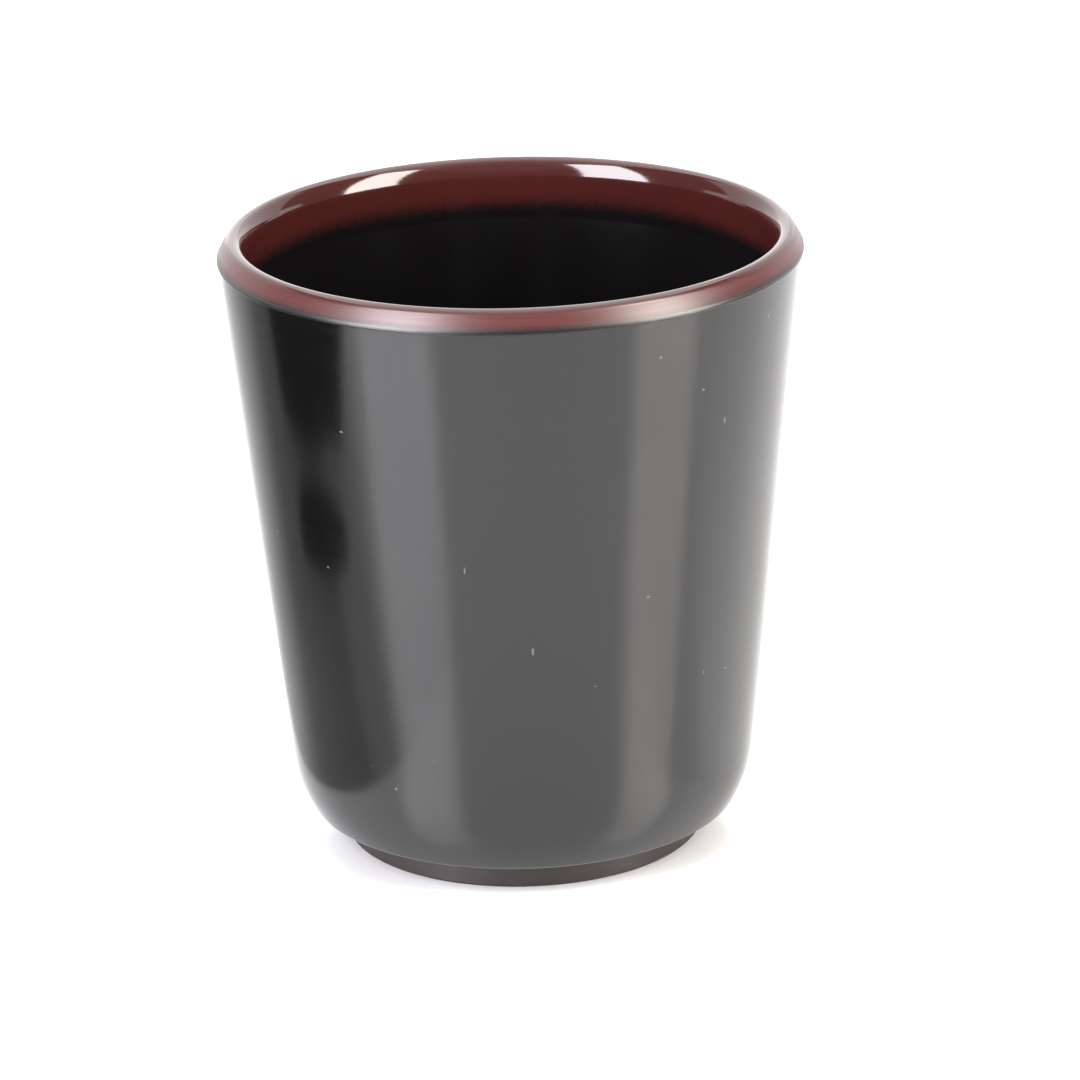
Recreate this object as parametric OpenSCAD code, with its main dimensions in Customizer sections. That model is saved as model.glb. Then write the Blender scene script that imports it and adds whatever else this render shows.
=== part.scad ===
// Lacquered drinking cup: a pressed bamboo core, four coats of lacquer and a foot ring.
// Every piece is a body of revolution about Z. Z = 0 is the table under the foot ring.

/* [Cup] */
// Diameter over the widest part of the lip
rim_d = 80; // [66:1:92]
// Height from the table to the crown of the lip
cup_h = 86.6; // [70:0.2:110]
// Lean of the outside wall from upright, in degrees
wall_lean = 6.05; // [4.5:0.05:7]
// Lean of the inside wall from upright, in degrees
mouth_lean = 6.3; // [5.5:0.05:7.5]
// Thickness of the floor, lacquer included
floor_t = 3.5; // [2.5:0.1:6]

/* [Lip] */
// Radius of the rounded crown
crown_r = 1.3; // [0.9:0.05:1.7]
// Width of the flat band that slopes down outside the crown
band_w = 2; // [1.2:0.05:2.6]
// Direction that the band faces, in degrees up from level
band_turn = 30; // [25:1:40]
// Radius of the band's lower edge, which is the cup's widest ring
band_edge_r = 0.8; // [0.6:0.05:1.2]
// Radius of the flare that leads from the crown down into the mouth
flare_r = 3.7; // [2.5:0.1:5]
// Length of the lip's upright skirt below its widest ring
skirt_h = 0.35; // [0.25:0.05:4]
// Radius under the skirt
skirt_edge_r = 0.2; // [0.05:0.01:0.25]
// Depth of the maroon on the inside, down from the crown
fade_h = 8.4; // [5:0.1:16]

/* [Base] */
// Height above the table where the straight wall ends and the base curve starts
base_h = 12; // [11:0.1:16]
// Radius of the base curve
base_r = 17.5; // [15:0.1:20]
// Radius of the arris under the base curve
arris_r = 1.2; // [0.8:0.05:2]
// Radius of the corner between floor and wall inside
corner_r = 9; // [5:0.5:14]

/* [Foot ring] */
// Height of the foot ring that shows under the body
foot_h = 4.5; // [4.3:0.1:6]
// Width of the level ledge between the base's rounded edge and the foot ring
foot_inset = 3.65; // [2.5:0.05:6]
// Width of the foot ring's wall
foot_w = 3.2; // [2.4:0.1:5]
// How far the foot ring leans in on each side towards the table
foot_taper = 0.25; // [0:0.05:0.5]
// Depth of the groove in the core that the foot ring is glued into
groove_h = 1; // [0.6:0.1:1.5]
// Radius on the foot ring's two lower edges
foot_edge_r = 0.4; // [0.2:0.05:0.8]

/* [Lacquer] */
// Thickness of the black coats
coat_t = 0.25; // [0.15:0.01:0.35]
// Thickness of the coats round the lip, which stands proud of the wall for it
lip_coat_t = 0.45; // [0.36:0.01:0.5]

/* [Hidden] */
$fn = 180;

// Segments along a curve of the section, and along a very small one
curve_steps = 14;
small_steps = 6;
// Direction of the outward normal, counted from level outwards, where the crown passes to the flare
crown_turn = 140;

function toward(a) = [cos(a), sin(a)];
function arc(c, r, a0, a1, steps = curve_steps) =
    [for (i = [0:steps]) c + r * toward(a0 + (a1 - a0) * i / steps)];
function reversed(path) = [for (i = [len(path) - 1:-1:0]) path[i]];

// Centres of the round parts of the lip, shared by the core and the coats over it
band_edge_z = cup_h - crown_r + (crown_r - band_edge_r) * sin(band_turn) - band_w * cos(band_turn);
band_edge_c = [rim_d / 2 - band_edge_r, band_edge_z];
crown_c = band_edge_c - (crown_r - band_edge_r) * toward(band_turn) + band_w * toward(band_turn + 90);
flare_c = crown_c - (flare_r - crown_r) * toward(crown_turn);

// Heights
ledge_z = foot_h;
core_under_z = ledge_z + coat_t;
floor_z = ledge_z + floor_t;
skirt_z = band_edge_z - skirt_h;
fade_z = cup_h - fade_h;

// Outside wall: a straight line that leaves the band's lower edge as a tangent.
// Skin counts outwards from the core.
function wall_point(z, skin) =
    let (start = band_edge_c + (band_edge_r - lip_coat_t + skin) * toward(-wall_lean))
    [start[0] - (start[1] - z) * tan(wall_lean), z];

// Base curve: tangent to the wall at base_h on the core
base_core_r = base_r - coat_t;
base_c = wall_point(base_h, 0) - base_core_r * toward(-wall_lean);

// Arris: tangent to the base curve and to the level ledge above the foot ring
arris_turn = asin((base_c[1] - ledge_z - arris_r) / (base_r - arris_r));
arris_c = base_c + (base_r - arris_r) * toward(-arris_turn);

// Inside wall: a straight line that leaves the flare as a tangent. Skin counts inwards from the core.
function bore_point(z, skin) =
    let (start = flare_c + (flare_r - lip_coat_t + skin) * toward(180 - mouth_lean))
    [start[0] - (start[1] - z) * tan(mouth_lean), z];

// Corner between inside wall and floor, about one centre for the core and the coat
corner_z = floor_z + corner_r;
corner_start_z = corner_z - corner_r * sin(mouth_lean);
corner_c = bore_point(corner_start_z, coat_t) - corner_r * toward(-mouth_lean);

// Foot ring
foot_out_r = arris_c[0] - foot_inset;
foot_in_r = foot_out_r - foot_w;
foot_top_z = core_under_z + groove_h;

// The section's runs, from the ledge up the outside, over the lip and down the inside to the floor
function outside_run(skin) = concat(
    arc(arris_c, arris_r - coat_t + skin, -90, -arris_turn),
    arc(base_c, base_core_r + skin, -arris_turn, -wall_lean),
    [wall_point(skirt_z, skin)]);

function under_skirt_run() = concat(
    [band_edge_c + (band_edge_r - lip_coat_t) * toward(-wall_lean)],
    arc(band_edge_c, band_edge_r - lip_coat_t, 0, band_turn, small_steps));

function lip_run(skin) = concat(
    [band_edge_c + (band_edge_r - lip_coat_t + skin) * toward(band_turn)],
    arc(crown_c, crown_r - lip_coat_t + skin, band_turn, crown_turn),
    arc(flare_c, flare_r - lip_coat_t + skin, crown_turn, 180 - mouth_lean));

function inside_run(skin) = concat(
    [bore_point(fade_z, skin)],
    arc(corner_c, corner_r + coat_t - skin, -mouth_lean, -90),
    [[0, floor_z - coat_t + skin]]);

// Pressed bamboo wall and floor in one, with a groove underneath for the foot ring
module cup_core() {
    color("tan")
        rotate_extrude()
            polygon(concat(
                [[0, core_under_z],
                 [foot_in_r, core_under_z],
                 [foot_in_r, foot_top_z],
                 [foot_out_r, foot_top_z],
                 [foot_out_r, core_under_z]],
                outside_run(0),
                under_skirt_run(),
                lip_run(0),
                inside_run(0)));
}

// Brown-black ring that the cup stands on, seated in the core's groove
module foot_ring() {
    out_low_r = foot_out_r - foot_taper;
    in_low_r = foot_in_r + foot_taper;
    color("#2a2220")
        rotate_extrude()
            polygon(concat(
                [[foot_in_r, foot_top_z],
                 [foot_in_r, ledge_z]],
                arc([in_low_r + foot_edge_r, foot_edge_r], foot_edge_r, 180, 270),
                arc([out_low_r - foot_edge_r, foot_edge_r], foot_edge_r, 270, 360),
                [[foot_out_r, ledge_z],
                 [foot_out_r, foot_top_z]]));
}

// Satin black coat on the outside, from the foot ring up over the skirt and the band's lower edge
module outer_lacquer() {
    skirt_c = [rim_d / 2 - skirt_edge_r, skirt_z + skirt_edge_r];
    color("#1c1c1e")
        rotate_extrude()
            polygon(concat(
                [[foot_out_r, core_under_z],
                 [foot_out_r, ledge_z]],
                outside_run(coat_t),
                arc(skirt_c, skirt_edge_r, -90, 0, small_steps),
                arc(band_edge_c, band_edge_r, 0, band_turn),
                reversed(under_skirt_run()),
                reversed(outside_run(0))));
}

// Maroon coat over the band and the crown, thinning to the black coat's thickness inside
module rim_lacquer() {
    color("#6a2a24")
        rotate_extrude()
            polygon(concat(
                lip_run(lip_coat_t),
                [bore_point(fade_z, coat_t),
                 bore_point(fade_z, 0)],
                reversed(lip_run(0))));
}

// Gloss black coat on the inside wall and the floor
module inner_lacquer() {
    color("#141314")
        rotate_extrude()
            polygon(concat(
                inside_run(coat_t),
                reversed(inside_run(0))));
}

// Black coat on the underside, within the foot ring
module base_lacquer() {
    color("#1a1818")
        translate([0, 0, ledge_z])
            cylinder(h = coat_t, r = foot_in_r);
}

cup_core();
foot_ring();
outer_lacquer();
rim_lacquer();
inner_lacquer();
base_lacquer();
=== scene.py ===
"""Lacquered bamboo drinking cup: the finish of every coat, the foot ring, and a plain studio for the picture.

Lengths are in millimetres until a mesh or a place is final, and metres from there on.
"""
import math

import bmesh
import bpy
from mathutils import Matrix, Vector, noise


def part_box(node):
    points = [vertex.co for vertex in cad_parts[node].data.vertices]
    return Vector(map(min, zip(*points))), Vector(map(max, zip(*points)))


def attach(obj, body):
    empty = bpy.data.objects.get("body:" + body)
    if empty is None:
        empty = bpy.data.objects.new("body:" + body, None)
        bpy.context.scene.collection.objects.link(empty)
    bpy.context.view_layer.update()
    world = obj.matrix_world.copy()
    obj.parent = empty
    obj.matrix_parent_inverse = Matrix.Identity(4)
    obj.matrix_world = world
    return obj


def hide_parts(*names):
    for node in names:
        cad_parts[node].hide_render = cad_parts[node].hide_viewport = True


MM = 0.001

# Section of the cup: radii and turns of the arcs that the outlines follow
CROWN_R = 1.3
CROWN_TURN = 140.0
BAND_W = 2.0
BAND_TURN = 30.0
BAND_EDGE_R = 0.8
FLARE_R = 3.7
SKIRT_H = 0.35
SKIRT_EDGE_R = 0.2
LIP_COAT_T = 0.45
WALL_LEAN = 6.05
MOUTH_LEAN = 6.3
BASE_H = 12.0
BASE_R = 17.5
ARRIS_R = 1.2
CORNER_R = 9.0
FOOT_TAPER = 0.25
FOOT_EDGE_R = 0.4

# Fineness of the meshes
TURN_STEPS = 256
ARC_STEP = 6.0
WALL_STEPS = 40
FLOOR_STEPS = 8
UNDERSIDE_STEPS = 6
SHORT_STEPS = 4
SHARP_ANGLE = 28.0

# Hand-rubbed unevenness of the outside coat
RUB_DEPTH = 0.02
RUB_WIDTH = 17.0

# Airbrushed ends of the maroon: depths below the crown inside, and heights above the band's lower end
FADE_START = 3.2
FADE_END = 6.2
FEATHER_START = 0.95
FEATHER_END = 0.15

# How far fine grain and slow drift shift the end inside, and fine grain the end on the band
FADE_GRAIN = 1.6
FADE_DRIFT = 1.2
FEATHER_GRAIN = 0.7

# Direction on the crown where its gloss gives way to the band's satin, and the change's reach to each side
SATIN_TURN = 38.0
SATIN_REACH_IN = 0.35
SATIN_REACH_OUT = 0.15

# Share of a dust speck's radius that is quite covered, before its edge fades out
SPECK_CORE = 0.55

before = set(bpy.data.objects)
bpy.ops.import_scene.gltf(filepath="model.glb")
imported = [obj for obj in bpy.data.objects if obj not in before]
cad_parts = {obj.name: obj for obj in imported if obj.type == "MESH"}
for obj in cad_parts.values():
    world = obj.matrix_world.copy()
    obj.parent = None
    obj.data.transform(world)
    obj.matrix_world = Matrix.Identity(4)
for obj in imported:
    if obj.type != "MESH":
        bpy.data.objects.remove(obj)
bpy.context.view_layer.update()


def toward(degrees):
    """Unit step in the section plane: radius first, then height."""
    return Vector((math.cos(math.radians(degrees)), math.sin(math.radians(degrees))))


def node_size(name):
    """Greatest radius, lowest height and greatest height of a CAD node, in millimetres."""
    low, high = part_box(name)
    return max(high.x, high.y) / MM, low.z / MM, high.z / MM


class Section:
    """The cup's section, worked out from the CAD nodes' sizes and the radii above."""

    lip_r, ledge_z, _ = node_size("outer_lacquer")
    _, fade_z, crown_z = node_size("rim_lacquer")
    foot_in_r, _, core_under_z = node_size("base_lacquer")
    foot_out_r, _, foot_top_z = node_size("foot_ring")
    coat_t = core_under_z - ledge_z
    floor_z = node_size("inner_lacquer")[1] + coat_t
    band_rise = BAND_W * toward(BAND_TURN).x - (CROWN_R - BAND_EDGE_R) * toward(BAND_TURN).y
    band_edge_z = crown_z - CROWN_R - band_rise
    band_edge_c = Vector((lip_r - BAND_EDGE_R, band_edge_z))
    crown_c = band_edge_c - (CROWN_R - BAND_EDGE_R) * toward(BAND_TURN) + BAND_W * toward(BAND_TURN + 90)
    flare_c = crown_c - (FLARE_R - CROWN_R) * toward(CROWN_TURN)
    skirt_z = band_edge_z - SKIRT_H


def wall_point(z, skin):
    """A point of the outside wall, with skin counted outwards from the bamboo."""
    start = Section.band_edge_c + (BAND_EDGE_R - LIP_COAT_T + skin) * toward(-WALL_LEAN)
    return Vector((start.x - (start.y - z) * math.tan(math.radians(WALL_LEAN)), z))


def bore_point(z, skin):
    """A point of the inside wall, with skin counted inwards from the bamboo."""
    start = Section.flare_c + (FLARE_R - LIP_COAT_T + skin) * toward(180 - MOUTH_LEAN)
    return Vector((start.x - (start.y - z) * math.tan(math.radians(MOUTH_LEAN)), z))


# Curve under the wall, light line under that curve, and corner between inside wall and floor
BASE_C = wall_point(BASE_H, 0) - (BASE_R - Section.coat_t) * toward(-WALL_LEAN)
ARRIS_TURN = math.degrees(math.asin((BASE_C.y - Section.ledge_z - ARRIS_R) / (BASE_R - ARRIS_R)))
ARRIS_C = BASE_C + (BASE_R - ARRIS_R) * toward(-ARRIS_TURN)
CORNER_START_Z = Section.floor_z + CORNER_R * (1 - math.sin(math.radians(MOUTH_LEAN)))
CORNER_C = bore_point(CORNER_START_Z, Section.coat_t) - CORNER_R * toward(-MOUTH_LEAN)


def start_outline(radius, z):
    """A new mesh with one point in the section plane, and that point."""
    bm = bmesh.new()
    return bm, bm.verts.new((radius, 0, z))


def line_to(bm, tip, radius, z, steps=1):
    """Draws a straight line from the tip, in equal steps, and returns its end."""
    start, end = tip.co.copy(), Vector((radius, 0, z))
    for step in range(1, steps + 1):
        tip = bmesh.ops.extrude_vert_indiv(bm, verts=[tip])["verts"][0]
        tip.co = start.lerp(end, step / steps)
    return tip


def arc_to(bm, tip, centre, first, last):
    """Draws an arc about the centre from the tip, from one direction to another, and returns its end."""
    turn = last - first
    drawn = bmesh.ops.spin(
        bm, geom=[tip], cent=(centre.x, 0, centre.y), axis=(0, 1, 0),
        angle=math.radians(-turn), steps=max(2, round(abs(turn) / ARC_STEP)), use_duplicate=False)
    return next(item for item in drawn["geom_last"] if isinstance(item, bmesh.types.BMVert))


def turn_on_lathe(bm):
    """Turns the outline once round the Z axis, closes its seam and poles, and points its faces outwards."""
    bmesh.ops.remove_doubles(bm, verts=bm.verts[:], dist=1e-4)
    bmesh.ops.spin(
        bm, geom=bm.verts[:] + bm.edges[:], cent=(0, 0, 0), axis=(0, 0, 1),
        angle=math.radians(360), steps=TURN_STEPS, use_merge=True, use_duplicate=False)
    bmesh.ops.remove_doubles(bm, verts=bm.verts[:], dist=1e-4)
    bmesh.ops.recalc_face_normals(bm, faces=bm.faces[:])


def new_object(bm, name, material):
    """Makes the mesh an object of the scene."""
    mesh = bpy.data.meshes.new(name)
    bm.to_mesh(mesh)
    bm.free()
    mesh.materials.append(material)
    made = bpy.data.objects.new(name, mesh)
    bpy.context.scene.collection.objects.link(made)
    return made


def finish_piece(bm, name, material):
    """Smooths the faces but for the sharp edges, turns millimetres to metres, and makes the object."""
    for face in bm.faces:
        face.smooth = True
    for edge in bm.edges:
        edge.smooth = edge.calc_face_angle(0) < math.radians(SHARP_ANGLE)
    bmesh.ops.scale(bm, vec=(MM, MM, MM), verts=bm.verts[:])
    return new_object(bm, name, material)


def linear(hex_code):
    """A colour given as sRGB hex, turned to linear."""
    channels = [int(hex_code[i:i + 2], 16) / 255 for i in (0, 2, 4)]
    return tuple(c / 12.92 if c <= 0.04045 else ((c + 0.055) / 1.055) ** 2.4 for c in channels) + (1.0,)


# Places of the colour sockets on a Mix node
COLOUR_A, COLOUR_B, COLOUR_OUT = 6, 7, 2


def add_node(tree, kind, settings, links=None):
    """Adds a node, sets its inputs and properties, and joins the sockets that feed it."""
    node = tree.nodes.new(kind)
    for key, value in settings.items():
        if isinstance(key, str) and hasattr(node, key):
            setattr(node, key, value)
        else:
            node.inputs[key].default_value = value
    for key, socket in (links or {}).items():
        tree.links.new(socket, node.inputs[key])
    return node


def new_material(name):
    """An empty material and its node tree."""
    material = bpy.data.materials.new(name)
    material.use_nodes = True
    material.node_tree.nodes.clear()
    return material, material.node_tree


def give_surface(tree, kind, settings, links=None):
    """Adds the material's surface shader and joins it to the output."""
    shader = add_node(tree, kind, settings, links)
    add_node(tree, "ShaderNodeOutputMaterial", {}, {"Surface": shader.outputs[0]})


def per_metre(millimetres):
    """Texture scale at which one feature of a pattern is that wide."""
    return 1 / (millimetres * MM)


def dust_specks(tree, place, cell, radius, share, stretch=(1, 1, 1), tilt=(0, 0, 0)):
    """Mask of the specks of dust caught under the last coat, in some of the cells of a Voronoi pattern."""
    laid = add_node(tree, "ShaderNodeMapping", {"Scale": stretch, "Rotation": tilt}, {"Vector": place})
    cells = add_node(
        tree, "ShaderNodeTexVoronoi", {"feature": "F1", "Scale": per_metre(cell), "Randomness": 1.0},
        {"Vector": laid.outputs["Vector"]})
    near = add_node(
        tree, "ShaderNodeMapRange",
        {"interpolation_type": "SMOOTHSTEP", "From Min": radius / cell,
         "From Max": SPECK_CORE * radius / cell, "To Min": 0.0, "To Max": 1.0},
        {"Value": cells.outputs["Distance"]})
    picked = add_node(
        tree, "ShaderNodeMath", {"operation": "LESS_THAN", 1: share}, {0: cells.outputs["Color"]})
    return add_node(
        tree, "ShaderNodeMath", {"operation": "MULTIPLY"},
        {0: near.outputs["Result"], 1: picked.outputs["Value"]}).outputs["Value"]


def satin_black_sprayed_lacquer():
    """Polyurethane lacquer, sprayed black and left satin: it mirrors its surroundings softly, and shows a
    fine orange peel, faint rings from rubbing down on the lathe, and specks of dust under the last coat.
    The lip's lower edge is rubbed more matt than the wall."""
    material, tree = new_material("satin_black_sprayed_lacquer")
    place = add_node(tree, "ShaderNodeTexCoord", {}).outputs["Object"]
    specks = dust_specks(tree, place, cell=6.6, radius=0.27, share=1.0)
    hairs = dust_specks(
        tree, place, cell=16.0, radius=0.8, share=0.6, stretch=(4, 4, 1), tilt=(0.5, 0.7, 0.3))
    lint = dust_specks(
        tree, place, cell=15.0, radius=0.7, share=0.6, stretch=(1, 3, 4), tilt=(1.1, -0.3, 0.9))
    fibres = add_node(tree, "ShaderNodeMath", {"operation": "MAXIMUM"}, {0: hairs, 1: lint}).outputs["Value"]
    caught = add_node(
        tree, "ShaderNodeMath", {"operation": "MAXIMUM"}, {0: specks, 1: fibres}).outputs["Value"]
    cloud = add_node(
        tree, "ShaderNodeTexNoise", {"Scale": per_metre(9), "Detail": 3.0}, {"Vector": place}).outputs["Fac"]
    black = add_node(
        tree, "ShaderNodeMix",
        {"data_type": "RGBA", COLOUR_A: linear("040404"), COLOUR_B: linear("050505")},
        {"Factor": cloud})
    colour = add_node(
        tree, "ShaderNodeMix", {"data_type": "RGBA", COLOUR_B: linear("4a4744")},
        {"Factor": caught, COLOUR_A: black.outputs[COLOUR_OUT]})
    rings = add_node(tree, "ShaderNodeMapping", {"Scale": (0.15, 0.15, 6.0)}, {"Vector": place})
    rubbed = add_node(
        tree, "ShaderNodeTexNoise", {"Scale": per_metre(3), "Detail": 4.0},
        {"Vector": rings.outputs["Vector"]})
    gloss = add_node(
        tree, "ShaderNodeMapRange", {"From Min": 0.3, "From Max": 0.7, "To Min": 0.13, "To Max": 0.17},
        {"Value": rubbed.outputs["Fac"]})
    height = add_node(tree, "ShaderNodeSeparateXYZ", {}, {"Vector": place}).outputs["Z"]
    edge = add_node(
        tree, "ShaderNodeMapRange",
        {"From Min": Section.skirt_z * MM, "From Max": Section.band_edge_z * MM, "To Min": 0.0,
         "To Max": 0.2},
        {"Value": height})
    worn = add_node(
        tree, "ShaderNodeMath", {"operation": "ADD"},
        {0: gloss.outputs["Result"], 1: edge.outputs["Result"]})
    peel = add_node(tree, "ShaderNodeTexNoise", {"Scale": per_metre(1.4), "Detail": 1.0}, {"Vector": place})
    relief = add_node(
        tree, "ShaderNodeMath", {"operation": "MULTIPLY_ADD", 1: 6.0}, {0: caught, 2: peel.outputs["Fac"]})
    bump = add_node(
        tree, "ShaderNodeBump", {"Strength": 1.0, "Distance": 0.004 * MM},
        {"Height": relief.outputs["Value"]})
    give_surface(tree, "ShaderNodeBsdfPrincipled", {"IOR": 1.55, "Metallic": 0.0}, {
        "Base Color": colour.outputs[COLOUR_OUT],
        "Roughness": worn.outputs["Value"],
        "Normal": bump.outputs["Normal"]})
    return material


def airbrushed_lip_lacquer():
    """Maroon lacquer sprayed on the lip and feathered out by airbrush on both sides, so that it ends in grain
    where the last droplets lie apart on the black. Wet gloss on the crown and inside, and a satin sheen with
    faint streaks of rubbing down on the band."""
    material, tree = new_material("airbrushed_lip_lacquer")
    place = add_node(tree, "ShaderNodeTexCoord", {}).outputs["Object"]
    height = add_node(tree, "ShaderNodeSeparateXYZ", {}, {"Vector": place}).outputs["Z"]
    flat = add_node(tree, "ShaderNodeMapping", {"Scale": (1, 1, 0)}, {"Vector": place}).outputs["Vector"]
    radius = add_node(tree, "ShaderNodeVectorMath", {"operation": "LENGTH"}, {0: flat}).outputs["Value"]
    grain = add_node(
        tree, "ShaderNodeTexNoise", {"Scale": per_metre(0.5), "Detail": 2.0},
        {"Vector": place}).outputs["Fac"]
    drift = add_node(
        tree, "ShaderNodeTexNoise", {"Scale": per_metre(14), "Detail": 2.0}, {"Vector": place}).outputs["Fac"]
    ragged = add_node(
        tree, "ShaderNodeMath", {"operation": "MULTIPLY_ADD", 1: FADE_GRAIN * MM}, {0: grain, 2: height})
    wandering = add_node(
        tree, "ShaderNodeMath", {"operation": "MULTIPLY_ADD", 1: FADE_DRIFT * MM},
        {0: drift, 2: ragged.outputs["Value"]})
    inside = add_node(
        tree, "ShaderNodeMapRange",
        {"interpolation_type": "SMOOTHSTEP", "From Min": (Section.crown_z - FADE_END) * MM,
         "From Max": (Section.crown_z - FADE_START) * MM, "To Min": 0.0, "To Max": 1.0},
        {"Value": wandering.outputs["Value"]})
    satin_r = (Section.crown_c + CROWN_R * toward(SATIN_TURN)).x
    on_band = add_node(
        tree, "ShaderNodeMapRange",
        {"interpolation_type": "SMOOTHSTEP", "From Min": (satin_r - SATIN_REACH_IN) * MM,
         "From Max": (satin_r + SATIN_REACH_OUT) * MM, "To Min": 0.0, "To Max": 1.0},
        {"Value": radius}).outputs["Result"]
    soft = add_node(
        tree, "ShaderNodeMath", {"operation": "MULTIPLY_ADD", 1: FEATHER_GRAIN * MM}, {0: grain, 2: height})
    band_foot = (Section.band_edge_c + BAND_EDGE_R * toward(BAND_TURN)).y
    feather = add_node(
        tree, "ShaderNodeMapRange",
        {"From Min": (band_foot + FEATHER_END) * MM, "From Max": (band_foot + FEATHER_START) * MM,
         "To Min": 1.0, "To Max": 0.0},
        {"Value": soft.outputs["Value"]})
    bare = add_node(
        tree, "ShaderNodeMath", {"operation": "MULTIPLY"}, {0: feather.outputs["Result"], 1: on_band})
    sprayed = add_node(
        tree, "ShaderNodeMath", {"operation": "SUBTRACT", "use_clamp": True},
        {0: inside.outputs["Result"], 1: bare.outputs["Value"]})
    maroon = add_node(
        tree, "ShaderNodeMix",
        {"data_type": "RGBA", COLOUR_A: linear("301210"), COLOUR_B: linear("3a1715")},
        {"Factor": on_band})
    colour = add_node(
        tree, "ShaderNodeMix", {"data_type": "RGBA", COLOUR_A: linear("090809")},
        {"Factor": sprayed.outputs["Value"], COLOUR_B: maroon.outputs[COLOUR_OUT]})
    rings = add_node(tree, "ShaderNodeMapping", {"Scale": (0.12, 0.12, 5.0)}, {"Vector": place})
    rubbed = add_node(
        tree, "ShaderNodeTexNoise", {"Scale": per_metre(2), "Detail": 4.0},
        {"Vector": rings.outputs["Vector"]})
    satin = add_node(
        tree, "ShaderNodeMapRange", {"From Min": 0.3, "From Max": 0.7, "To Min": 0.21, "To Max": 0.29},
        {"Value": rubbed.outputs["Fac"]})
    gloss = add_node(
        tree, "ShaderNodeMath", {"operation": "MULTIPLY_ADD", 2: 0.09},
        {0: satin.outputs["Result"], 1: on_band})
    bump = add_node(tree, "ShaderNodeBump", {"Strength": 1.0, "Distance": 0.002 * MM}, {"Height": grain})
    give_surface(tree, "ShaderNodeBsdfPrincipled", {"IOR": 1.5, "Metallic": 0.0}, {
        "Base Color": colour.outputs[COLOUR_OUT],
        "Roughness": gloss.outputs["Value"],
        "Normal": bump.outputs["Normal"]})
    return material


def gloss_black_inside_lacquer():
    """The same lacquer poured round the inside: wet gloss black, with slow waves where it ran."""
    material, tree = new_material("gloss_black_inside_lacquer")
    place = add_node(tree, "ShaderNodeTexCoord", {}).outputs["Object"]
    cloud = add_node(
        tree, "ShaderNodeTexNoise", {"Scale": per_metre(12), "Detail": 2.0}, {"Vector": place}).outputs["Fac"]
    colour = add_node(
        tree, "ShaderNodeMix",
        {"data_type": "RGBA", COLOUR_A: linear("080708"), COLOUR_B: linear("0b0a0a")},
        {"Factor": cloud})
    gloss = add_node(
        tree, "ShaderNodeMapRange", {"From Min": 0.3, "From Max": 0.7, "To Min": 0.09, "To Max": 0.14},
        {"Value": cloud})
    bump = add_node(tree, "ShaderNodeBump", {"Strength": 1.0, "Distance": 0.03 * MM}, {"Height": cloud})
    give_surface(tree, "ShaderNodeBsdfPrincipled", {"IOR": 1.5, "Metallic": 0.0}, {
        "Base Color": colour.outputs[COLOUR_OUT],
        "Roughness": gloss.outputs["Result"],
        "Normal": bump.outputs["Normal"]})
    return material


def rubbed_foot_stain():
    """Thin brown-black lacquer rubbed into the foot ring's bare grain: nearly matt, a little warmer than the
    body, with fine rings left by the turning tool."""
    material, tree = new_material("rubbed_foot_stain")
    place = add_node(tree, "ShaderNodeTexCoord", {}).outputs["Object"]
    rings = add_node(tree, "ShaderNodeMapping", {"Scale": (1.0, 1.0, 8.0)}, {"Vector": place})
    grain = add_node(
        tree, "ShaderNodeTexNoise", {"Scale": per_metre(2.5), "Detail": 4.0},
        {"Vector": rings.outputs["Vector"]}).outputs["Fac"]
    colour = add_node(
        tree, "ShaderNodeMix",
        {"data_type": "RGBA", COLOUR_A: linear("16100e"), COLOUR_B: linear("241a17")},
        {"Factor": grain})
    gloss = add_node(
        tree, "ShaderNodeMapRange", {"From Min": 0.3, "From Max": 0.7, "To Min": 0.45, "To Max": 0.6},
        {"Value": grain})
    bump = add_node(tree, "ShaderNodeBump", {"Strength": 1.0, "Distance": 0.02 * MM}, {"Height": grain})
    give_surface(tree, "ShaderNodeBsdfPrincipled", {"IOR": 1.5, "Metallic": 0.0}, {
        "Base Color": colour.outputs[COLOUR_OUT],
        "Roughness": gloss.outputs["Result"],
        "Normal": bump.outputs["Normal"]})
    return material


def pressed_bamboo():
    """Strips of bamboo pressed together with resin, sanded: pale straw with brown fibres along the wall."""
    material, tree = new_material("pressed_bamboo")
    place = add_node(tree, "ShaderNodeTexCoord", {}).outputs["Object"]
    along = add_node(tree, "ShaderNodeMapping", {"Scale": (1.0, 1.0, 0.04)}, {"Vector": place})
    fibre = add_node(
        tree, "ShaderNodeTexNoise", {"Scale": per_metre(0.5), "Detail": 3.0},
        {"Vector": along.outputs["Vector"]}).outputs["Fac"]
    colour = add_node(
        tree, "ShaderNodeMix",
        {"data_type": "RGBA", COLOUR_A: linear("b58f5c"), COLOUR_B: linear("dcc08c")},
        {"Factor": fibre})
    gloss = add_node(
        tree, "ShaderNodeMapRange", {"From Min": 0.3, "From Max": 0.7, "To Min": 0.5, "To Max": 0.65},
        {"Value": fibre})
    give_surface(tree, "ShaderNodeBsdfPrincipled", {"IOR": 1.5, "Metallic": 0.0}, {
        "Base Color": colour.outputs[COLOUR_OUT],
        "Roughness": gloss.outputs["Result"]})
    return material


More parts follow.
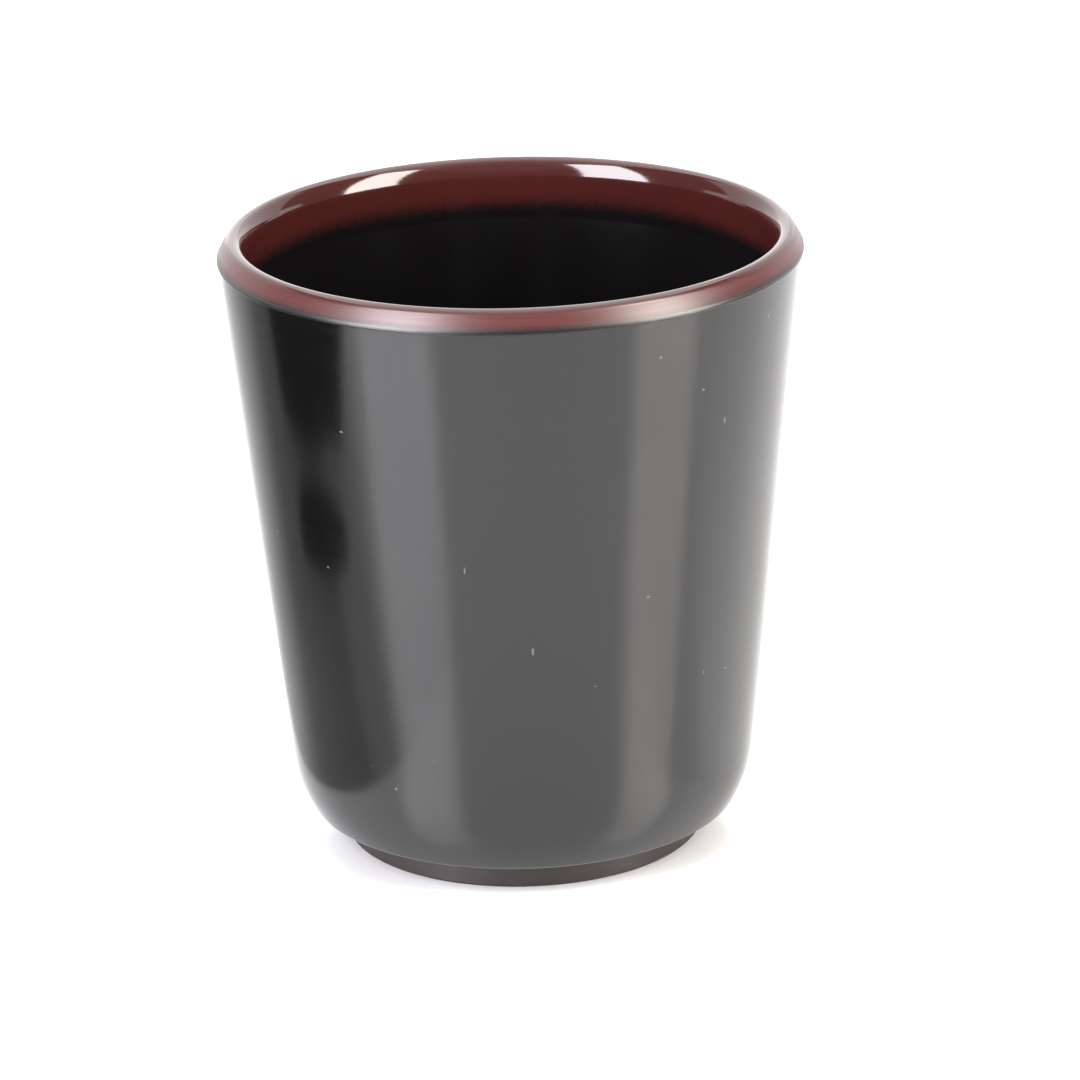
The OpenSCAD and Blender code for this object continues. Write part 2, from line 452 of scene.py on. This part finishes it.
def make_body_coat(material):
    """Satin black coat from the foot ring up over the skirt of the lip, a little uneven from rubbing down."""
    s = Section
    skirt_c = Vector((s.lip_r - SKIRT_EDGE_R, s.skirt_z + SKIRT_EDGE_R))
    bm, tip = start_outline(s.foot_out_r, s.core_under_z)
    tip = line_to(bm, tip, s.foot_out_r, s.ledge_z)
    tip = line_to(bm, tip, ARRIS_C.x, s.ledge_z)
    tip = arc_to(bm, tip, ARRIS_C, -90, -ARRIS_TURN)
    tip = arc_to(bm, tip, BASE_C, -ARRIS_TURN, -WALL_LEAN)
    tip = line_to(bm, tip, *wall_point(s.skirt_z, s.coat_t), steps=WALL_STEPS)
    tip = line_to(bm, tip, skirt_c.x, s.skirt_z)
    tip = arc_to(bm, tip, skirt_c, -90, 0)
    tip = line_to(bm, tip, s.lip_r, s.band_edge_z)
    tip = arc_to(bm, tip, s.band_edge_c, 0, BAND_TURN)
    tip = line_to(bm, tip, *(s.band_edge_c + (BAND_EDGE_R - LIP_COAT_T) * toward(BAND_TURN)))
    tip = arc_to(bm, tip, s.band_edge_c, BAND_TURN, -WALL_LEAN)
    tip = line_to(bm, tip, *(BASE_C + (BASE_R - s.coat_t) * toward(-WALL_LEAN)), steps=WALL_STEPS)
    tip = arc_to(bm, tip, BASE_C, -WALL_LEAN, -ARRIS_TURN)
    tip = arc_to(bm, tip, ARRIS_C, -ARRIS_TURN, -90)
    line_to(bm, tip, s.foot_out_r, s.core_under_z)
    turn_on_lathe(bm)
    rub_down(bm)
    return finish_piece(bm, "body_coat", material)


def rub_down(bm):
    """Moves the outer skin of the wall in and out by the hand-rubbed unevenness, and leaves its back."""
    for vert in bm.verts:
        radius = math.hypot(vert.co.x, vert.co.y)
        z = vert.co.z
        if not BASE_H < z < Section.skirt_z:
            continue
        if radius < wall_point(z, Section.coat_t / 2).x:
            continue
        fade = min(1, (z - BASE_H) / RUB_WIDTH, (Section.skirt_z - z) / (RUB_WIDTH / 2))
        step = RUB_DEPTH * fade * noise.noise(vert.co / RUB_WIDTH)
        vert.co.xy *= (radius + step) / radius


def make_lip_coat(material):
    """Maroon coat over the band and the crown, and down into the mouth."""
    s = Section
    start = s.band_edge_c + BAND_EDGE_R * toward(BAND_TURN)
    bm, tip = start_outline(*start)
    tip = line_to(bm, tip, *(s.crown_c + CROWN_R * toward(BAND_TURN)), steps=SHORT_STEPS)
    tip = arc_to(bm, tip, s.crown_c, BAND_TURN, CROWN_TURN)
    tip = arc_to(bm, tip, s.flare_c, CROWN_TURN, 180 - MOUTH_LEAN)
    tip = line_to(bm, tip, *bore_point(s.fade_z, s.coat_t), steps=2 * SHORT_STEPS)
    tip = line_to(bm, tip, *bore_point(s.fade_z, 0))
    tip = line_to(
        bm, tip, *(s.flare_c + (FLARE_R - LIP_COAT_T) * toward(180 - MOUTH_LEAN)), steps=2 * SHORT_STEPS)
    tip = arc_to(bm, tip, s.flare_c, 180 - MOUTH_LEAN, CROWN_TURN)
    tip = arc_to(bm, tip, s.crown_c, CROWN_TURN, BAND_TURN)
    tip = line_to(
        bm, tip, *(s.band_edge_c + (BAND_EDGE_R - LIP_COAT_T) * toward(BAND_TURN)), steps=SHORT_STEPS)
    line_to(bm, tip, *start)
    turn_on_lathe(bm)
    return finish_piece(bm, "lip_coat", material)


def make_inside_coat(material):
    """Gloss black coat down the inside wall and over the floor."""
    s = Section
    bm, tip = start_outline(*bore_point(s.fade_z, s.coat_t))
    tip = line_to(bm, tip, *bore_point(CORNER_START_Z, s.coat_t), steps=WALL_STEPS)
    tip = arc_to(bm, tip, CORNER_C, -MOUTH_LEAN, -90)
    tip = line_to(bm, tip, 0, s.floor_z, steps=FLOOR_STEPS)
    tip = line_to(bm, tip, 0, s.floor_z - s.coat_t)
    tip = line_to(bm, tip, CORNER_C.x, s.floor_z - s.coat_t, steps=FLOOR_STEPS)
    tip = arc_to(bm, tip, CORNER_C, -90, -MOUTH_LEAN)
    tip = line_to(bm, tip, *bore_point(s.fade_z, 0), steps=WALL_STEPS)
    line_to(bm, tip, *bore_point(s.fade_z, s.coat_t))
    turn_on_lathe(bm)
    return finish_piece(bm, "inside_coat", material)


def make_foot(material):
    """Ring that the cup stands on, turned from the same pressed bamboo and stained."""
    s = Section
    out_c = Vector((s.foot_out_r - FOOT_TAPER - FOOT_EDGE_R, FOOT_EDGE_R))
    in_c = Vector((s.foot_in_r + FOOT_TAPER + FOOT_EDGE_R, FOOT_EDGE_R))
    bm, tip = start_outline(s.foot_out_r, s.foot_top_z)
    tip = line_to(bm, tip, s.foot_out_r, s.ledge_z)
    tip = line_to(bm, tip, s.foot_out_r - FOOT_TAPER, FOOT_EDGE_R, steps=SHORT_STEPS)
    tip = arc_to(bm, tip, out_c, 0, -90)
    tip = line_to(bm, tip, in_c.x, 0)
    tip = arc_to(bm, tip, in_c, 270, 180)
    tip = line_to(bm, tip, s.foot_in_r, s.ledge_z, steps=SHORT_STEPS)
    tip = line_to(bm, tip, s.foot_in_r, s.foot_top_z)
    line_to(bm, tip, s.foot_out_r, s.foot_top_z)
    turn_on_lathe(bm)
    return finish_piece(bm, "foot", material)


def make_underside_coat(material):
    """Black coat that seals the underside within the foot ring."""
    s = Section
    bm, tip = start_outline(0, s.ledge_z)
    tip = line_to(bm, tip, s.foot_in_r, s.ledge_z, steps=UNDERSIDE_STEPS)
    tip = line_to(bm, tip, s.foot_in_r, s.core_under_z)
    line_to(bm, tip, 0, s.core_under_z, steps=UNDERSIDE_STEPS)
    turn_on_lathe(bm)
    return finish_piece(bm, "underside_coat", material)


def declare(piece, node):
    """A coat or ring that stands for its CAD node and moves with the cup."""
    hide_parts(node)
    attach(piece, "root")


body_black = satin_black_sprayed_lacquer()
declare(make_body_coat(body_black), "outer_lacquer")
declare(make_lip_coat(airbrushed_lip_lacquer()), "rim_lacquer")
declare(make_inside_coat(gloss_black_inside_lacquer()), "inner_lacquer")
declare(make_foot(rubbed_foot_stain()), "foot_ring")
declare(make_underside_coat(body_black), "base_lacquer")
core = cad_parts["cup_core"]
core.data.materials.clear()
core.data.materials.append(pressed_bamboo())


# The studio, in metres: a white table, two soft boxes in front, lit paper behind and a lit cloth overhead
LIP_Z = Section.crown_z * MM
TABLE_SIDE = 8.0
TABLE_CORNERS = ((-1, -1), (1, -1), (1, 1), (-1, 1))

BOX_DISTANCE = 1.0
BOX_TOP_ANGLE = 53
BOX_RADIANCE = 17

CEILING_Z = 1.7
CEILING_HALF_W = 1.1
CEILING_FRONT_Y = -4.5
CEILING_BACK_Y = 1.9
CEILING_DIM_Y = -1.4
CEILING_BRIGHT_Y = 0.7
CEILING_DIM_GLOW = 0.5
CEILING_BRIGHT_GLOW = 3.3

# Sheets of lit paper: compass direction where each starts, its glow, and degrees up to its top from the lip
PAPER_DISTANCE = 1.5
PAPER_STEP = 16
PAPERS = (
    (104, 2.2, 10), (120, 1.5, 40), (136, 1.6, 40), (152, 1.8, 40), (168, 2.4, 40), (184, 2.4, 40),
    (200, 1.8, 40), (216, 1.6, 40), (232, 1.5, 40), (248, 2.2, 10))


def compass(degrees):
    """Level direction seen from the cup: 0 towards the camera, 90 to its right, 180 behind the cup."""
    return Vector((math.sin(math.radians(degrees)), -math.cos(math.radians(degrees)), 0))


def stage_sheet(name, material, corners):
    """A flat sheet of the set through its corners, in metres."""
    bm = bmesh.new()
    bm.faces.new([bm.verts.new(corner) for corner in corners])
    bmesh.ops.recalc_face_normals(bm, faces=bm.faces[:])
    sheet = new_object(bm, name, material)
    return sheet


def white_acrylic_table():
    """Sheet of white acrylic, which mirrors the lamps in a blurred streak that the cup's wall shows again."""
    material, tree = new_material("white_acrylic_table")
    place = add_node(tree, "ShaderNodeTexCoord", {}).outputs["Object"]
    haze = add_node(tree, "ShaderNodeTexNoise", {"Scale": per_metre(40), "Detail": 2.0}, {"Vector": place})
    gloss = add_node(
        tree, "ShaderNodeMapRange", {"From Min": 0.3, "From Max": 0.7, "To Min": 0.19, "To Max": 0.22},
        {"Value": haze.outputs["Fac"]})
    give_surface(
        tree, "ShaderNodeBsdfPrincipled",
        {"Base Color": (0.64, 0.64, 0.64, 1), "IOR": 1.5, "Metallic": 0.0},
        {"Roughness": gloss.outputs["Result"]})
    return material


def ceiling_cloth():
    """White cloth overhead, lit from behind the set, so that it grows darker towards the camera."""
    material, tree = new_material("ceiling_cloth")
    place = add_node(tree, "ShaderNodeTexCoord", {}).outputs["Object"]
    back = add_node(tree, "ShaderNodeSeparateXYZ", {}, {"Vector": place}).outputs["Y"]
    glow = add_node(
        tree, "ShaderNodeMapRange",
        {"interpolation_type": "SMOOTHSTEP", "From Min": CEILING_DIM_Y, "From Max": CEILING_BRIGHT_Y,
         "To Min": CEILING_DIM_GLOW, "To Max": CEILING_BRIGHT_GLOW},
        {"Value": back})
    give_surface(tree, "ShaderNodeEmission", {}, {"Strength": glow.outputs["Result"]})
    return material


def soft_box(name, bearing, spread, colour):
    """An upright soft box from the table up, that fills the given part of the view from the lip."""
    width = 2 * BOX_DISTANCE * math.tan(math.radians(spread))
    height = LIP_Z + BOX_DISTANCE * math.tan(math.radians(BOX_TOP_ANGLE))
    light = bpy.data.lights.new(name, "AREA")
    light.shape = "RECTANGLE"
    light.size = width
    light.size_y = height
    # An area light's radiance is its power over four times its area
    light.energy = 4 * width * height * BOX_RADIANCE
    light.color = colour
    box = bpy.data.objects.new(name, light)
    box.location = compass(bearing) * BOX_DISTANCE + Vector((0, 0, height / 2))
    box.rotation_euler = (-compass(bearing)).to_track_quat("-Z", "Y").to_euler()
    box.visible_camera = False
    bpy.context.scene.collection.objects.link(box)


def lit_paper(first, glow, top_angle):
    """An upright sheet of lit white paper, from the table up to the given angle as seen from the lip."""
    material, tree = new_material(f"lit_paper_{first}")
    give_surface(tree, "ShaderNodeEmission", {"Color": (1, 1, 1, 1), "Strength": glow})
    near, far = compass(first) * PAPER_DISTANCE, compass(first + PAPER_STEP) * PAPER_DISTANCE
    lift = Vector((0, 0, LIP_Z + PAPER_DISTANCE * math.tan(math.radians(top_angle))))
    stage_sheet(f"paper_{first}", material, [near, far, far + lift, near + lift])


stage_sheet(
    "table", white_acrylic_table(), [(x * TABLE_SIDE / 2, y * TABLE_SIDE / 2, 0) for x, y in TABLE_CORNERS])
soft_box("left_soft_box", bearing=-49, spread=15.5, colour=(0.96, 0.94, 1.0))
soft_box("right_soft_box", bearing=64.5, spread=13.5, colour=(1.0, 0.96, 0.9))
stage_sheet("ceiling", ceiling_cloth(), [
    (-CEILING_HALF_W, CEILING_FRONT_Y, CEILING_Z), (CEILING_HALF_W, CEILING_FRONT_Y, CEILING_Z),
    (CEILING_HALF_W, CEILING_BACK_Y, CEILING_Z), (-CEILING_HALF_W, CEILING_BACK_Y, CEILING_Z)])
for paper in PAPERS:
    lit_paper(*paper)

# Cards and nets on the table, in millimetres. A net's shares say how much shows through, by direction.
CARD_Z = 2
STREAK_CARD = (
    (-146, -53), (-151, -24), (-155, 6), (-160, 24), (-168, 37), (-187, 47), (-225, 66), (-240, -112),
    (-183, -85))
BLOB_CARD = (
    (-144, 12), (-144, -6), (-136, -30), (-126, -40), (-115, -43), (-109, -36), (-112, -4), (-116, 15),
    (-124, 20), (-135, 20))
NET_Z = 1
NET_CORNERS = ((45, -260), (320, -260), (320, 300), (45, 300))
LEFT_CENTRE = (0, -34)
LEFT_SHARES = (
    (-169, 1.0), (-150, 0.66), (-133, 0.48), (-123, 0.26), (-98, 0.21), (-92, 0.42), (-81, 0.5), (-72, 0.86),
    (-66, 0.92), (-48, 0.92), (-40, 1.0))
RIGHT_SHARES = ((46, 1.0), (55, 0.88), (65, 0.86), (72, 0.9), (78, 1.0))
FAR_NET_Z = 3
FAR_NET_START = 255
FAR_NET_END = 3000
FAR_NET_SPREAD = 120
FAR_NET_STEP = 15
FAR_SHARES = (
    (-115, 1.0), (-108, 0.3), (-71, 0.3), (-68, 1.0), (-33, 1.0), (-30, 0.3), (46, 0.3), (49, 1.0), (79, 1.0),
    (82, 0.3), (108, 0.3), (115, 1.0))

# Distances from the cup's axis between which a net's extra openness near the cup fades out
OPEN_NEAR = 65
OPEN_FAR = 120


def shade_card(name, material, z, corners):
    """A card over the table that shows only in the cup's gloss, and neither to the camera nor as a shadow."""
    card = stage_sheet(name, material, [Vector((x, y, z)) * MM for x, y in corners])
    card.visible_camera = False
    card.visible_diffuse = False
    card.visible_shadow = False
    card.visible_transmission = False


def black_card_felt():
    """Black felt, which the wall mirrors as a near black streak."""
    material, tree = new_material("black_card_felt")
    give_surface(
        tree, "ShaderNodeBsdfPrincipled",
        {"Base Color": (0.01, 0.01, 0.01, 1), "Roughness": 0.9, "Specular IOR Level": 0.0})
    return material


def graduated_net(name, shares, centre=(0, 0), openness=0.0):
    """Black net of changing closeness, so that in the cup's gloss parts of the table fall into shade."""
    material, tree = new_material(name)
    place = add_node(tree, "ShaderNodeTexCoord", {}).outputs["Object"]
    centred = add_node(
        tree, "ShaderNodeMapping", {"Location": (-centre[0] * MM, -centre[1] * MM, 0)}, {"Vector": place})
    turned = add_node(
        tree, "ShaderNodeMapping", {"Rotation": (0, 0, math.radians(90))},
        {"Vector": centred.outputs["Vector"]})
    bearing = add_node(
        tree, "ShaderNodeTexGradient", {"gradient_type": "RADIAL"}, {"Vector": turned.outputs["Vector"]})
    ramp = add_node(tree, "ShaderNodeValToRGB", {}, {"Fac": bearing.outputs["Fac"]})
    steps = ramp.color_ramp.elements
    for direction, share in shares[1:-1]:
        steps.new(0.5 + direction / 360).color = (share, share, share, 1)
    for step, (direction, share) in ((steps[0], shares[0]), (steps[-1], shares[-1])):
        step.position = 0.5 + direction / 360
        step.color = (share, share, share, 1)
    distance = add_node(tree, "ShaderNodeVectorMath", {"operation": "LENGTH"}, {0: place}).outputs["Value"]
    open_mesh = add_node(
        tree, "ShaderNodeMapRange",
        {"interpolation_type": "SMOOTHSTEP", "From Min": OPEN_NEAR * MM, "From Max": OPEN_FAR * MM,
         "To Min": openness, "To Max": 0.0},
        {"Value": distance})
    shade = add_node(
        tree, "ShaderNodeMix", {"data_type": "RGBA", COLOUR_B: (1, 1, 1, 1)},
        {"Factor": open_mesh.outputs["Result"], COLOUR_A: ramp.outputs["Color"]})
    give_surface(tree, "ShaderNodeBsdfTransparent", {}, {"Color": shade.outputs[COLOUR_OUT]})
    return material


felt = black_card_felt()
shade_card("streak_card", felt, CARD_Z, STREAK_CARD)
shade_card("blob_card", felt, CARD_Z, BLOB_CARD)
shade_card(
    "left_net", graduated_net("left_net_mesh", LEFT_SHARES, LEFT_CENTRE, openness=0.12), NET_Z,
    [(-x, y) for x, y in NET_CORNERS])
shade_card("right_net", graduated_net("right_net_mesh", RIGHT_SHARES), NET_Z, NET_CORNERS)
far_net = graduated_net("far_net_mesh", FAR_SHARES)
for first_bearing in range(-FAR_NET_SPREAD, FAR_NET_SPREAD, FAR_NET_STEP):
    one_side, other_side = compass(first_bearing), compass(first_bearing + FAR_NET_STEP)
    shade_card(f"far_net_{first_bearing + FAR_NET_SPREAD}", far_net, FAR_NET_Z, [
        (one_side * FAR_NET_START).xy, (other_side * FAR_NET_START).xy,
        (other_side * FAR_NET_END).xy, (one_side * FAR_NET_END).xy])

WORLD_GREY = 0.27
world = bpy.data.worlds.new("dark_studio")
world.use_nodes = True
world.node_tree.nodes["Background"].inputs["Color"].default_value = (WORLD_GREY, WORLD_GREY, WORLD_GREY, 1)
bpy.context.scene.world = world

# The camera, as the photograph was taken: millimetres and degrees
CAMERA_RANGE = 708.44
CAMERA_RISE = 19.2126
ORBIT_Z = 43.0
AIM_Z = 41.6245
CAMERA_YAW = 0.2632
CAMERA_ROLL = 1.4067
CAMERA_LENS = 170.0


def make_camera():
    """Camera at the photograph's viewing angle, for a square picture."""
    ground = CAMERA_RANGE * math.cos(math.radians(CAMERA_RISE))
    height = ORBIT_Z + CAMERA_RANGE * math.sin(math.radians(CAMERA_RISE))
    pitch = math.atan2(height - AIM_Z, ground)
    data = bpy.data.cameras.new("camera")
    data.lens = CAMERA_LENS
    data.sensor_width = 36.0
    data.dof.use_dof = False
    data.clip_start = 0.01
    camera = bpy.data.objects.new("camera", data)
    camera.matrix_world = (
        Matrix.Translation((0, -ground * MM, height * MM))
        @ Matrix.Rotation(math.radians(-CAMERA_YAW), 4, "Z")
        @ Matrix.Rotation(math.radians(90) - pitch, 4, "X")
        @ Matrix.Rotation(math.radians(-CAMERA_ROLL), 4, "Z"))
    bpy.context.scene.collection.objects.link(camera)
    bpy.context.scene.camera = camera


make_camera()
bpy.context.scene.view_settings.view_transform = "Standard"
